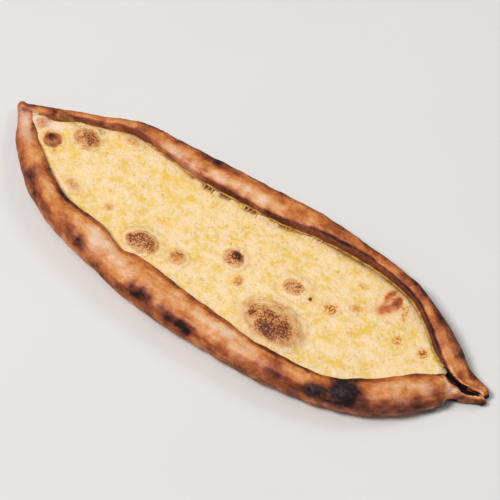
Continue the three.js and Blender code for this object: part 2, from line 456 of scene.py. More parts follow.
def plain_mesh(piece, name):
    """The mesh that an object's modifiers make, with the object itself removed."""
    bpy.context.view_layer.update()
    evaluated = piece.evaluated_get(bpy.context.evaluated_depsgraph_get())
    mesh = bpy.data.meshes.new_from_object(evaluated)
    mesh.name = name
    bpy.data.objects.remove(piece)
    return mesh


def remeshed(node, cell):
    """A copy of a CAD node cut into even quads about `cell` across."""
    piece = linked("even_quads", joined_copy(node))
    modifier = piece.modifiers.new("Even quads", "REMESH")
    modifier.mode = "VOXEL"
    modifier.voxel_size = cell * MM
    return plain_mesh(piece, node)


def rows_of(things, field, width, kind=np.float64):
    """One field of all the points or edges of a mesh, as rows of numbers."""
    values = np.empty(len(things) * width, kind)
    things.foreach_get(field, values)
    return values.reshape(-1, width)


def points_of(mesh):
    """A mesh's points, in millimetres."""
    return rows_of(mesh.vertices, "co", 3) / MM


def normals_of(mesh):
    """The direction each point of a mesh faces."""
    return rows_of(mesh.vertex_normals, "vector", 3)


def move_points(mesh, points):
    """Puts a mesh's points at new places, given in millimetres."""
    mesh.vertices.foreach_set("co", (points * MM).ravel())
    mesh.update()


def store(mesh, name, values):
    """Keeps a value or a vector for each point of a mesh, for its material to read."""
    kind, field = ("FLOAT", "value") if values.ndim == 1 else ("FLOAT_VECTOR", "vector")
    layer = mesh.attributes.new(name, kind, "POINT")
    layer.data.foreach_set(field, values.astype(np.float32).ravel())


def surface_finder(node):
    """A function that gives the height of a CAD node's upper side at any place in plan."""
    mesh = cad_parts[node].data
    corners = [v.co.copy() for v in mesh.vertices]
    tree = BVHTree.FromPolygons(corners, [tuple(p.vertices) for p in mesh.polygons])

    def height(x, y):
        above = Vector((x * MM, y * MM, 100 * MM))
        hit = tree.ray_cast(above, Vector((0, 0, -1)))[0]
        return hit.z / MM if hit else 0.0

    return height


bread_height = surface_finder("bread")
cheese_height = surface_finder("cheese")


# The bread's crust


# Where a point of the crust is: how far it faces out of the loaf, from -1 to 1, whether it is on the far
# rim, how far along that rim it is, and how far in from its outer edge.
RimPlace = namedtuple("RimPlace", "out on_far along inward")


def outer_edges(points):
    """The loaf's near and far outer edges in plan: x, near y and far y, every few millimetres along it."""
    stations = np.arange(points[:, 0].min(), points[:, 0].max(), 4.0)
    near, far = [], []
    for x in stations:
        here = points[np.abs(points[:, 0] - x) < 5, 1]
        near.append(here.min())
        far.append(here.max())
    return stations, np.array(near), np.array(far)


def rim_place(points, normals):
    stations, near, far = outer_edges(points)
    x, y = points[:, 0], points[:, 1]
    on_far = y > np.interp(x, stations, (near + far) / 2)
    places = []
    for edge, side in ((near, -1), (far, 1)):
        slopes = np.gradient(edge, stations)
        stretch = np.sqrt(1 + slopes**2)
        slope = np.interp(x, stations, slopes)
        unit = side / np.sqrt(1 + slope**2)
        out = (normals[:, 1] - slope * normals[:, 0]) * unit
        inward = (np.interp(x, stations, edge) - y) * unit
        along = np.interp(x, stations, np.cumsum(stretch) * (stations[1] - stations[0]))
        places.append((out, along, inward))
    out, along, inward = (np.where(on_far, *pair) for pair in zip(places[1], places[0]))
    return RimPlace(out, on_far, along, inward)


def along_rim(points, place, length=1):
    """Each point's place along its rim, in from the rim's edge and up, as streaks follow it."""
    return np.stack([place.along / length, place.inward, points[:, 2]], 1)


def streaks(points, place, size, length, seed):
    """Noise in streaks that run along the rims, `length` times as long as they are wide."""
    return noise(along_rim(points, place, length), size, seed)


def knead(points, place):
    """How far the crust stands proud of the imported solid, as hand-rolled dough is never even."""
    lumps = 0.5 * noise(points, 21, 1) + 0.3 * noise(points, 8, 2) + 0.14 * noise(points, 3.2, 3)
    tip = ease(np.abs(points[:, 0]), 180, 205)
    creases = streaks(points, place, 3.2, 7, 4)
    return (lumps + 0.45 * tip * creases) * ease(points[:, 2], 0.8, 4)


def crust_baking_and_painted_light(points, place):
    """How dark the crust is, from 0 for pale dough to 1 for char: its baking, with painted shade and
    highlights in it.
    """
    x, up = points[:, 0], points[:, 2]
    out, far = place.out, place.on_far
    baking = 0.485 + 0.08 * noise(points, 24, 7) + 0.1 * noise(points, 11, 8) + 0.07 * noise(points, 5, 13)
    baking += 0.03 * streaks(points, place, 2.4, 6, 9) + 0.05 * streaks(points, place, 7, 4, 10)
    tail = ease(x, *TAIL)
    # The near rim is darker on its outer side and along its tail, partly from browning and partly as painted
    # shade, and paler along its crest, partly paler dough and partly a painted highlight. The far rim darkens
    # towards its outer side.
    near_side = 0.12 * ease(out, 0.25, 0.9) - 0.05 * peak(out, -0.05, 0.3) + 0.08 * tail
    near_side += 0.06 * low_right(points, out)
    far_side = 0.1 * ease(out, -0.1, 0.5) + 0.1 * ease(out, 0.4, 0.9) + 0.05 * hill(x, *DARKER_FAR_RIM)
    baking += np.where(far, far_side, near_side) + wall_shade_and_baking(points, place)
    baking += baked_by(points, bread_height, NEAR_RIM_MARKS, 0.2, 1.8)
    baking += baked_by(points, bread_height, FAR_RIM_MARKS, 0.2, 1.8)
    baking += baked_by(points, bread_height, CHAR_MARKS, 0.08, 2.3)
    # The far rim's inner side never gets much darker than this.
    within = ease(-out, 0.3, 0.5) * far * (1 - tail)
    limit = 0.7 + 0.09 * hill(x, *DARKER_FAR_WALL)
    baking += wall_shadow_line(points, place) - 0.85 * within * np.maximum(baking - limit, 0)
    # At the right tip the lips are pale, partly paler dough and partly a painted highlight, and the slit is
    # black inside as painted shade.
    lips = tail * peak(out, np.where(far, -0.5, -0.26), 0.18) * ease(up, 7, 9)
    floor = (1 - ease(up, 6.5, 8.5)) * ease(place.inward, 2.5, 4.5)
    wall = np.where(far, ease(-out, 0.6, 0.8), ease(-out, 0.45, 0.62))
    return np.clip(baking - 0.6 * lips + tail * np.maximum(wall, floor), 0, 1)


def low_right(points, out):
    """The low outer side of the near rim's right half, darker and redder by browning and painted shade, from
    0 to 1.
    """
    return hill(points[:, 0], *REDDER_NEAR_RIM) * ease(out, 0.3, 0.6)


def wall_waver(points):
    """How the darkening of the far rim's inner side, browning and painted shade, wavers up and down along the
    loaf.
    """
    return 0.1 * noise_along(points, 22, 12)


def wall_shade_and_baking(points, place):
    """How much darker the rims' inner sides are, by browning and painted shade: a broken band on the far one,
    a thin line on the near.
    """
    inner = -place.out
    x = points[:, 0]
    depth = 0.14 + 0.15 * ease(x, -70, -35) + 0.03 * ease(x, 40, 80) + 0.07 * ease(x, 160, 190)
    depth += 0.14 * (1 - ease(x, -190, -150))
    foot = (1 - ease(points[:, 2], 15.5, 18)) * ease(place.inward, 8, 12)
    low = 0.48 + wall_waver(points)
    band = depth * np.maximum(ease(inner, low, low + 0.22), foot) * (0.95 + 0.15 * noise(points, 9, 15))
    shown = (1 + 0.3 * ease(x, 40, 80)) * (1 - 0.8 * ease(x, 150, 170)) * (0.3 + 0.7 * ease(x, -200, -180))
    shown *= 1 - 0.6 * hill(x, *FAINTER_NEAR_WALL)
    near = (0.2 + 0.08 * noise(points, 12, 16)) * ease(inner, 0.2, 0.65) * shown
    return np.where(place.on_far, band, near)


def wall_shadow_line(points, place):
    """A thin line of painted shadow, darker still, along the top of the far rim's inner side."""
    shade = peak(-place.out, 0.6 + wall_waver(points), 0.12)
    return 0.2 * place.on_far * shade * ease(points[:, 0], 20, 70)


def crust_gilding(points, place):
    """Where melted cheese has stained the foot of the rims' inner sides a golden olive."""
    x = points[:, 0]
    line = far_line(low=-203, high=196, step=2.0, rise=0.0)[0]
    rise = points[:, 2] - np.interp(x, line[:, 0], line[:, 2]) - 0.5 * noise(points, 7, 11)
    rise -= 1.5 * (1 - ease(x, -185, -145))
    band = ease(-place.out, 0.2, 0.6) * (1 - ease(rise, 0.9, 2.4)) * (1 - ease(x, 186, 196))
    band *= 1 - 0.8 * (1 - ease(x, -170, -140)) * ease(noise(points, 6, 17), -0.3, 0.3)
    return np.where(place.on_far, 0.85 * band, 0.3 * band)


def close_slit(points):
    """Draws the two lips of the slit at the right tip together a little, as the photo has them."""
    x = points[:, 0]
    away = points[:, 1] - np.interp(x, SLIT_X, SLIT_Y)
    clear = ease(np.abs(away), 0, SLIT_HALF_WIDTH)
    near = NEAR_LIP_SHIFT * hill(x, *NEAR_LIP) * peak(away, 0, 10, 4)
    far = FAR_LIP_SHIFT * hill(x, *FAR_LIP) * peak(away, 0, 8, 4)
    return points + (clear * np.where(away < 0, near, -far))[:, None] * (0, 1, 0)


def make_crust(material):
    mesh = remeshed("bread", CRUST_CELL)
    edges = rows_of(mesh.edges, "vertices", 2, np.int64)
    points = close_slit(relaxed(points_of(mesh), edges, rounds=8))
    move_points(mesh, points)
    normals = normals_of(mesh)
    place = rim_place(points, normals)
    points = points + normals * knead(points, place)[:, None]
    points[:, 2] = np.maximum(points[:, 2], 0)
    move_points(mesh, points)
    blush = baked_by(points, bread_height, BLUSH_MARKS, 0.25, 2.2)
    # The far rim's inner side gets purple as painted shade, and the near rim's low right side a redder tint,
    # partly its own colour and partly painted shade.
    blush += 0.7 * place.on_far * ease(-place.out, 0.45, 0.7)
    blush += 0.8 * ~place.on_far * low_right(points, place.out)
    # The crust's darkness: its baking, with painted shade and painted highlights in it.
    store(mesh, "bake", crust_baking_and_painted_light(points, place))
    store(mesh, "gild", crust_gilding(points, place))
    store(mesh, "blush", np.clip(blush, 0, 1))
    store(mesh, "ash_and_sheen", np.clip(baked_by(points, bread_height, ASH_AND_SHEEN_MARKS, 0.2, 1.8), 0, 1))
    store(mesh, "rim_way", along_rim(points, place) * MM)
    return finished("crust", mesh, material)


# The cheese


def cheese_edges(stations):
    """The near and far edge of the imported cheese's upper side at each place along the loaf."""
    mesh = joined_copy("cheese")
    corners = points_of(mesh)
    near = np.full(len(stations), np.inf)
    far = np.full(len(stations), -np.inf)
    for face in mesh.polygons:
        if face.normal.z < 0.5:
            continue
        ring = corners[list(face.vertices)]
        low, high = np.searchsorted(stations, (ring[:, 0].min(), ring[:, 0].max()))
        x = stations[low:high]
        for a, b in zip(ring, np.roll(ring, -1, axis=0)):
            if abs(b[0] - a[0]) < 1e-9:
                continue
            share = (x - a[0]) / (b[0] - a[0])
            crosses = (share >= 0) & (share <= 1)
            y = a[1] + share * (b[1] - a[1])
            near[low:high] = np.where(crosses, np.minimum(near[low:high], y), near[low:high])
            far[low:high] = np.where(crosses, np.maximum(far[low:high], y), far[low:high])
    return near, far


def blurred(grid, rounds):
    """A grid of heights after each has moved towards its four neighbours, `rounds` times."""
    for _ in range(rounds):
        wide = np.pad(grid, 1, mode="edge")
        mean = (wide[:-2, 1:-1] + wide[2:, 1:-1] + wide[1:-1, :-2] + wide[1:-1, 2:]) / 4
        grid = (grid + mean) / 2
    return grid


def cheese_grid():
    """The cheese's upper side as a grid of points, and how far each is from the far rim."""
    low, high = (corner.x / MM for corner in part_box("cheese"))
    stations = np.linspace(low + 0.3, high - 0.3, int((high - low) / CHEESE_CELL))
    near, far = (edge[:, None] for edge in cheese_edges(stations))
    rows = int((far - near).max() / CHEESE_CELL)
    across = np.linspace(0, 1, rows)[None, :]
    y = near + (far - near) * across
    inset = np.clip(y, near + 0.2, far - 0.2)
    heights = [[cheese_height(x, v) for v in row] for x, row in zip(stations, inset)]
    heights = blurred(np.array(heights), rounds=24)
    overlap = (2 * across - 1) * CHEESE_OVERLAP
    points = np.stack([np.repeat(stations[:, None], rows, 1), y + overlap, heights], 2)
    return points, far - y


def closed_sheet(grid, underside):
    """A grid of points as the top of a closed solid with a flat underside: its points and its faces."""
    columns, rows = grid.shape[:2]
    index = np.arange(columns * rows).reshape(columns, rows)
    corners = (index[:-1, :-1], index[1:, :-1], index[1:, 1:], index[:-1, 1:])
    faces = np.stack(corners, 2).reshape(-1, 4).tolist()
    points = grid.reshape(-1, 3)
    below = []
    for row in (0, rows - 1):
        foot = grid[:, row].copy()
        foot[:, 2] = underside
        below.append(np.arange(columns) + len(points))
        points = np.concatenate([points, foot])
    near, far = below
    for c in range(columns - 1):
        faces.append([near[c], near[c + 1], index[c + 1, 0], index[c, 0]])
        faces.append([far[c + 1], far[c], index[c, -1], index[c + 1, -1]])
        faces.append([near[c + 1], near[c], far[c], far[c + 1]])
    faces.append([near[0], *index[0], far[0]])
    faces.append([far[-1], *index[-1, ::-1], near[-1]])
    return points, faces


def pits(points, count, seed):
    """Pinholes in the melted cheese: how deep each point lies in one, from 0 to 1."""
    draw = np.random.default_rng(seed)
    depth = np.zeros(len(points))
    order = np.argsort(points[:, 0], kind="stable")
    along = points[order, 0]
    low, high = points.min(0), points.max(0)
    for x, y in draw.uniform(low[:2], high[:2], (count, 2)):
        radius = draw.uniform(0.7, 1.5)
        first, last = np.searchsorted(along, (x - radius, x + radius))
        near = order[first:last]
        away = np.hypot(points[near, 0] - x, (points[near, 1] - y) * draw.uniform(0.8, 1.7)) / radius
        depth[near] = np.maximum(depth[near], np.clip(1 - away**2, 0, 1))
    return depth


def folds(points):
    """Fine rings on the shoulders of the two largest blisters, where the skin has sunk, from 0 to 1."""
    shade = np.zeros(len(points))
    for n, mark in enumerate(BLISTER_TOPS[:2]):
        away = distance_in(points, mark, cheese_height, 0.05, n)
        upper = ease(points[:, 1] - mark.y, -0.1 * mark.wide, 0.2 * mark.wide)
        shown = hill(away, 0.5, 0.7, 0.98, 1.1) * upper
        shade += shown * (0.5 + 0.5 * np.sin(away * mark.wide * 0.9))
    return shade


def cheese_relief(points, browned, to_far):
    """How far the cheese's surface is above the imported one, point by point."""
    stretched = points * (1, 1.3, 1)
    grains = 0.14 * noise(stretched, 3.6, 21) + 0.08 * noise(points, 1.9, 22) + 0.3 * noise(points, 11, 23)
    crisp = 0.3 * np.minimum(browned, 1) * (noise(points, 1.9, 24) + 0.6 * noise(points, 1.1, 25))
    end = points[:, 0].max()
    sunk = 1.8 * ease(points[:, 0], end - 6, end)
    groove = (1 - 0.6 * ease(points[:, 0], 60, 90)) * edge_groove(points, to_far)
    return grains + crisp + 0.35 * folds(points) - groove - sunk


def holes(points):
    """Where the cheese has torn away from the far rim, by the place along the loaf, from 0 to 1."""
    return ease(noise_along(points, 6.5, 31), -0.2, 0.1)


def edge_groove(points, to_far):
    """The gap left where the cheese has shrunk from the far rim, with deeper holes in it, from 0 to 1. Its
    dark gold is partly a stain and partly painted shade.
    """
    x = points[:, 0]
    torn = hill(x, *TORN_EDGE) * holes(points)
    stain_and_shade = 0.3 + (0.35 + 0.3 * holes(points * 0.4)) * hill(x, *STAINED_AND_SHADED_EDGE)
    width = 1.3 + 2.6 * ease(x, 40, 80) * (1 - 0.5 * ease(x, 110, 130)) + 3.4 * torn
    return peak(np.maximum(to_far, 0.3), 0.3, width, 4) * np.maximum(stain_and_shade, torn)


# The marks that the cheese's material tells apart, with how ragged and how crisp their edges are.
CHEESE_MASKS = {
    "ring": (CHEESE_RINGS, 0.06, 8.0),
    "bare": (BARE_MARKS, 0.08, 5.0),
    "olive": (OLIVE_MARKS, 0.12, 3.0),
    "amber": (AMBER_MARKS, 0.12, 3.0),
    "smudge": (SMUDGE_MARKS, 0.2, 1.9),
}


def make_cheese(material):
    grid, to_far = cheese_grid()
    points = grid.reshape(-1, 3)
    to_far = to_far.ravel()
    browned = baked_by(points, cheese_height, BLISTER_TOPS, 0.06, 7.0) * (1 + 0.4 * noise(points, 6, 26))
    browned = np.clip(browned + baked_by(points, cheese_height, CHEESE_MARKS, 0.14, 3.0), 0, 1.6)
    masks = {
        "brown": browned,
        # A dark line inside the edges of the blisters and the bare lobe, partly browning and partly painted
        # shade.
        "rim": outlined(points, cheese_height, BLISTER_TOPS + BARE_MARKS[:1], 0.06),
        "halo": outlined(points, cheese_height, CHEESE_RINGS, 0.06),
        "fold": folds(points),
        "groove": edge_groove(points, to_far),
        "pinhole": pits(points, count=500, seed=41) * (1 - ease(browned, 0.05, 0.3)),
    }
    for name, kind in CHEESE_MASKS.items():
        masks[name] = np.clip(baked_by(points, cheese_height, *kind), 0, 1)
    points[:, 2] += cheese_relief(points, browned, to_far) - 0.5 * masks["pinhole"]
    points, faces = closed_sheet(grid, CHEESE_UNDERSIDE)
    mesh = new_mesh("cheese_layer", points, faces=faces)
    spare = len(points) - len(browned)
    for name, values in masks.items():
        store(mesh, name, np.concatenate([values, np.zeros(spare)]))
    return finished("cheese_layer", mesh, material)


# Node tools


def result(node, name=0):
    return node.outputs[name]


def feed(tree, node, inputs):
    """Sets a node's inputs, each to a value or joined to a socket."""
    for socket, value in inputs.items():
        if isinstance(value, bpy.types.NodeSocket):
            tree.links.new(value, node.inputs[socket])
        else:
            node.inputs[socket].default_value = value
    return node


def add(tree, kind, inputs, **settings):
    """A new node in a tree, with its inputs and its settings."""
    node = tree.nodes.new(kind)
    for key, value in settings.items():
        setattr(node, key, value)
    return feed(tree, node, inputs)


def new_group(kind, name, inputs, outputs):
    """An empty node group with number inputs, each with its first value, and outputs of the kinds given."""
    tree = bpy.data.node_groups.new(name, kind)
    if kind == "GeometryNodeTree":
        tree.interface.new_socket("Geometry", in_out="INPUT", socket_type="NodeSocketGeometry")
    for label, value in inputs.items():
        socket = tree.interface.new_socket(label, in_out="INPUT", socket_type="NodeSocketFloat")
        socket.default_value = value
    for label, output in outputs.items():
        tree.interface.new_socket(label, in_out="OUTPUT", socket_type="NodeSocket" + output)
    return tree, tree.nodes.new("NodeGroupInput"), tree.nodes.new("NodeGroupOutput")


def made(tree, kind, inputs, output=0, **settings):
    """What a new node in a tree gives."""
    return result(add(tree, kind, inputs, **settings), output)


def maths(tree, operation, *values):
    """The result of one sum on sockets or numbers."""
    return made(tree, "ShaderNodeMath", dict(enumerate(values)), operation=operation)


def times(tree, first, second):
    return maths(tree, "MULTIPLY", first, second)


def vector_maths(tree, operation, *values):
    """The result of one sum on vectors."""
    return made(tree, "ShaderNodeVectorMath", dict(enumerate(values)), operation=operation)


# What is scattered over the cheese or follows its edge


# The sizes that each Geometry Nodes tree takes.
CURD_SIZES = {"Per square metre": 38000, "Curd": 1.45 * MM}
RIND_SIZES = {"Radius": 1.0 * MM, "Waver": 1.6 * MM}
STRAND_SIZES = {"Reach": 4.8 * MM, "Radius": 0.42 * MM, "Climb": 1.4 * MM}

FULL_TURN = 6.283


def geometry_group(name, sizes):
    return new_group("GeometryNodeTree", name, sizes, {"Geometry": "Geometry"})


def finish_tree(tree, out, shape, material):
    """Ends a tree with real geometry, shaded smooth, in one material."""
    real = made(tree, "GeometryNodeRealizeInstances", {"Geometry": shape})
    smooth = made(tree, "GeometryNodeSetShadeSmooth", {"Geometry": real})
    painted = made(tree, "GeometryNodeSetMaterial", {"Geometry": smooth, "Material": material})
    feed(tree, out, {"Geometry": painted})
    return tree


def grown(host, tree, sizes, name):
    """A plain mesh object that holds what a Geometry Nodes tree makes of a host object."""
    modifier = host.modifiers.new(tree.name, "NODES")
    modifier.node_group = tree
    for item in tree.interface.items_tree:
        if item.in_out == "INPUT" and item.name in sizes:
            modifier[item.identifier] = sizes[item.name]
    return linked(name, plain_mesh(host, name))


def random_value(tree, low, high, seed):
    """A random number for each point or instance, or a random vector where low and high are vectors."""
    vector = isinstance(low, tuple)
    kind = "FLOAT_VECTOR" if vector else "FLOAT"
    first = 0 if vector else 2
    inputs = {"Seed": seed, first: low, first + 1: high}
    node = add(tree, "FunctionNodeRandomValue", inputs, data_type=kind)
    return next(output for output in node.outputs if output.enabled)


def kept_value(tree, name):
    """A number that the mesh keeps for each of its points."""
    return made(tree, "GeometryNodeInputNamedAttribute", {"Name": name}, data_type="FLOAT")


def curd_tree(material):
    """Flat rounded curds scattered over a surface, more of them where its "curds" value is higher."""
    tree, given, out = geometry_group("Scattered curds", CURD_SIZES)
    density = times(tree, result(given, "Per square metre"), kept_value(tree, "curds"))
    scattered = {"Mesh": result(given, "Geometry"), "Density": density, "Seed": 5}
    points = add(tree, "GeometryNodeDistributePointsOnFaces", scattered)
    ball = {"Segments": 9, "Rings": 5, "Radius": result(given, "Curd")}
    turns = {
        "Rotation": result(points, "Rotation"),
        "Rotate By": random_value(tree, (0, 0, 0), (0, 0, FULL_TURN), 6),
    }
    flattened = {
        "Points": result(points),
        "Instance": made(tree, "GeometryNodeMeshUVSphere", ball),
        "Rotation": made(tree, "FunctionNodeRotateRotation", turns, rotation_space="LOCAL"),
        "Scale": random_value(tree, (0.6, 0.6, 0.05), (1.8, 1.4, 0.11), 7),
    }
    placed = made(tree, "GeometryNodeInstanceOnPoints", flattened)
    tone = {"Geometry": placed, "Name": "tone", "Value": random_value(tree, 0.0, 1.0, 8)}
    kinds = {"data_type": "FLOAT", "domain": "INSTANCE"}
    toned = made(tree, "GeometryNodeStoreNamedAttribute", tone, **kinds)
    real = made(tree, "GeometryNodeRealizeInstances", {"Geometry": toned})
    sway, sag = 1.3 * MM, 0.5 * MM
    rough = made(tree, "ShaderNodeTexNoise", {"Scale": 1 / (2 * sway), "Detail": 1.0}, "Color")
    reach = (2 * sway, 2 * sway, sag)
    melting = vector_maths(tree, "MULTIPLY_ADD", rough, reach, (-sway, -sway, -0.6 * sag))
    melted = made(tree, "GeometryNodeSetPosition", {"Geometry": real, "Offset": melting})
    return finish_tree(tree, out, melted, material)


def bead_along(tree, line, radius, sides, **more):
    """A closed bead with a round section along a curve."""
    circle = {"Resolution": sides, "Radius": radius}
    section = made(tree, "GeometryNodeCurvePrimitiveCircle", circle, mode="RADIUS")
    inputs = {"Curve": line, "Profile Curve": section, "Fill Caps": True, **more}
    return made(tree, "GeometryNodeCurveToMesh", inputs)


def rind_tree(material):
    """A ragged bead that follows a line."""
    tree, given, out = geometry_group("Ragged bead", RIND_SIZES)
    line = made(tree, "GeometryNodeMeshToCurve", {"Mesh": result(given, "Geometry")})
    rough = add(tree, "ShaderNodeTexNoise", {"Scale": 1 / (7 * MM), "Detail": 3.0})
    centred = vector_maths(tree, "SUBTRACT", result(rough, "Color"), (0.5, 0.5, 0.5))
    waver = {0: centred, "Scale": result(given, "Waver")}
    sway = made(tree, "ShaderNodeVectorMath", waver, operation="SCALE")
    wavy = made(tree, "GeometryNodeSetPosition", {"Geometry": line, "Offset": sway})
    swell = maths(tree, "MULTIPLY_ADD", result(rough, "Fac"), 2.4, -0.3)
    thick = times(tree, swell, result(given, "Radius"))
    return finish_tree(tree, out, bead_along(tree, wavy, 1.0, 9, Scale=thick), material)


def strand_tree(material):
    """Thin sagging strands, one at each of a line's points, in the direction that the point keeps."""
    tree, given, out = geometry_group("Strands", STRAND_SIZES)
    reach = result(given, "Reach")
    bend = {
        "Resolution": 5,
        "Start": made(tree, "ShaderNodeCombineXYZ", {"Z": result(given, "Climb")}),
        "Middle": made(tree, "ShaderNodeCombineXYZ", {"X": times(tree, reach, 0.5)}),
        "End": made(tree, "ShaderNodeCombineXYZ", {"X": reach}),
    }
    arc = made(tree, "GeometryNodeCurveQuadraticBezier", bend)
    lean = maths(tree, "ADD", kept_value(tree, "way"), random_value(tree, -0.15, 0.15, 3))
    strands = {
        "Points": result(given, "Geometry"),
        "Instance": bead_along(tree, arc, result(given, "Radius"), 5),
        "Rotation": made(tree, "ShaderNodeCombineXYZ", {"Z": lean}),
        "Scale": random_value(tree, (0.6, 0.6, 0.7), (1.3, 1.3, 1.2), 4),
    }
    placed = made(tree, "GeometryNodeInstanceOnPoints", strands)
    return finish_tree(tree, out, placed, material)


def make_curds(layer, material):
    """Curds on the cheese, but not on its browned, stained, bare or torn places."""
    host = linked("curd_host", layer.data.copy())
    mesh = host.data
    points = points_of(mesh)
    covered = np.zeros(len(points))
    for name in ("brown", "groove", "smudge", "bare", "amber"):
        covered += ease(rows_of(mesh.attributes[name].data, "value", 1, np.float32)[:, 0], 0.03, 0.2)
    share = np.clip(ease(noise(points, 16, 51), -0.7, 0.5) - covered, 0, 1)
    store(mesh, "curds", share * ease(normals_of(mesh)[:, 2], 0.5, 0.8))
    return grown(host, curd_tree(material), CURD_SIZES, "half_melted_curds")


def far_line(low, high, step, rise):
    """Points along the cheese's far edge, `rise` above it, and the way back over the cheese there."""
    stations = np.arange(low, high, step)
    far = cheese_edges(stations)[1]
    heights = [cheese_height(x, y - 0.6) for x, y in zip(stations, far)]
    way = np.arctan2(-np.ones(len(far)), np.gradient(far, stations))
    return np.stack([stations, far - 0.4, np.array(heights) + rise], 1), way


def make_rind(material):
    points, _ = far_line(low=-118, high=196, step=1.5, rise=1.3)
    mesh = new_mesh("rind_line", points, edges=[(n, n + 1) for n in range(len(points) - 1)])
    return grown(linked("rind_line", mesh), rind_tree(material), RIND_SIZES, "browned_rind")


def make_strands(material):
    draw = np.random.default_rng(61)
    points, way = far_line(low=-62, high=62, step=3.9, rise=0.1)
    kept = (draw.random(len(points)) < 0.9) & (holes(points) > 0.4)
    mesh = new_mesh("strand_feet", points[kept])
    store(mesh, "way", way[kept])
    return grown(linked("strand_feet", mesh), strand_tree(material), STRAND_SIZES, "stretched_strands")


# Materials


def shader_group(name, inputs, outputs):
    return new_group("ShaderNodeTree", name, inputs, outputs)


def blend(tree, share, first, second):
    """One colour mixed with another by a share from 0 to 1."""
    return made(tree, "ShaderNodeMix", {0: share, 6: first, 7: second}, 2, data_type="RGBA")


def layered(tree, body, layers):
    """A colour with others laid over it in turn, each by its own share, or stored value, and strength."""
    for share, strength, colour in layers:
        share = stored(tree, share) if isinstance(share, str) else share
        share = share if strength == 1 else times(tree, share, strength)
        body = blend(tree, share, body, tint(*colour) if isinstance(colour, tuple) else colour)
    return body


def object_place(tree):
    return made(tree, "ShaderNodeTexCoord", {}, "Object")


def speckle(tree, size, detail=2.0, stretch=(1, 1, 1)):
    """Noise from 0 to 1 in grains about `size` mm across, fixed to the piece."""
    drawn = vector_maths(tree, "MULTIPLY", object_place(tree), stretch)
    inputs = {"Vector": drawn, "Scale": maths(tree, "DIVIDE", 1 / MM, size), "Detail": detail}
    return made(tree, "ShaderNodeTexNoise", inputs, "Fac")


def stepped(tree, value, low, high):
    """A value mapped so that low gives 0 and high gives 1, and no more or less than that."""
    return made(tree, "ShaderNodeMapRange", {"Value": value, "From Min": low, "From Max": high})


# The colours of baked dough, from pale to charred.
BAKING_COLOURS = [
    (0.0, (250, 214, 190)),
    (0.2, (241, 186, 136)),
    (0.38, (228, 149, 80)),
    (0.52, (200, 110, 48)),
    (0.66, (150, 74, 38)),
    (0.8, (92, 42, 26)),
    (0.92, (40, 20, 19)),
    (1.0, (30, 11, 16)),
]


def baking_group():
    """A baked surface with mottled grains, from pale dough through golden and brown to char."""
    tree, given, out = shader_group(
        "Baked surface",
        {"Baking": 0.5, "Mottling": 0.1, "Grain": 2.0},
        {"Color": "Color", "Roughness": "Float", "Height": "Float"},
    )
    grains = speckle(tree, result(given, "Grain"), 3.0)
    swing = times(tree, maths(tree, "SUBTRACT", grains, 0.5), result(given, "Mottling"))
    baking = maths(tree, "MULTIPLY_ADD", swing, 2.0, result(given, "Baking"))
    ramp = add(tree, "ShaderNodeValToRGB", {"Fac": baking})
    stops = ramp.color_ramp.elements
    while len(stops) < len(BAKING_COLOURS):
        stops.new(0.5)
    for stop, (place, colour) in zip(stops, BAKING_COLOURS):
        stop.position = place
        stop.color = tint(*colour)
    roughness = stepped(tree, baking, -0.35, 1.15)
    feed(tree, out, {"Color": result(ramp, "Color"), "Roughness": roughness, "Height": grains})
    return tree


def pore_group():
    """Fine pores: a height that dips into small holes."""
    tree, given, out = shader_group("Fine pores", {"Size": 1.0, "Depth": 1.0}, {"Height": "Float"})
    dips = stepped(tree, speckle(tree, result(given, "Size"), 4.0), 0.3, 0.6)
    feed(tree, out, {"Height": times(tree, dips, result(given, "Depth"))})
    return tree


def fleck_group():
    """Scorched flecks: a mask of fine winding strokes that grow wider as the surface browns."""
    tree, given, out = shader_group("Scorched flecks", {"Cover": 0.5, "Size": 1.0}, {"Mask": "Float"})
    grain = speckle(tree, result(given, "Size"), 2.5)
    away = maths(tree, "ABSOLUTE", maths(tree, "SUBTRACT", grain, 0.5))
    shown = maths(tree, "SUBTRACT", times(tree, result(given, "Cover"), 0.085), away)
    feed(tree, out, {"Mask": stepped(tree, shown, -0.012, 0.018)})
    return tree


def milk_group():
    """Melted cheese: cream, yellow and pinkish curds grown together. Richness moves it towards yellow."""
    tree, given, out = shader_group(
        "Melted curds",
        {"Richness": 0.0, "Curd": 3.2},
        {"Color": "Color", "Height": "Float"},
    )
    place = object_place(tree)
    bend = (3.2 * MM, 3.2 * MM, 3.2 * MM)
    drift = made(tree, "ShaderNodeTexNoise", {"Vector": place, "Scale": 1 / (4 * MM)}, "Color")
    bent = vector_maths(tree, "MULTIPLY_ADD", drift, bend, place)
    scale = maths(tree, "DIVIDE", 1 / MM, result(given, "Curd"))
    curds = {"Vector": bent, "Smoothness": 0.35, "Scale": scale}
    cells = add(tree, "ShaderNodeTexVoronoi", curds, feature="SMOOTH_F1")
    own = add(tree, "ShaderNodeSeparateColor", {"Color": result(cells, "Color")})
    rich = maths(tree, "MULTIPLY_ADD", result(own, "Red"), 0.08, speckle(tree, 11, 5.0, (1, 1.3, 1)))
    rich = maths(tree, "ADD", rich, result(given, "Richness"))
    pale = stepped(tree, result(own, "Green"), 0.5, 0.75)
    seams = stepped(tree, result(cells, "Distance"), 0.35, 0.8)
    dots = stepped(tree, speckle(tree, 2.6), 0.66, 0.72)
    body = layered(tree, tint(252, 222, 168), [
        (stepped(tree, rich, 0.42, 0.7), 1, (239, 198, 86)),
        (pale, 0.5, (252, 223, 200)),
        (seams, 0.25, (230, 190, 104)),
        (dots, 0.4, (210, 172, 92)),
    ])
    height = maths(tree, "SUBTRACT", 1.0, result(cells, "Distance"))
    feed(tree, out, {"Color": body, "Height": height})
    return tree


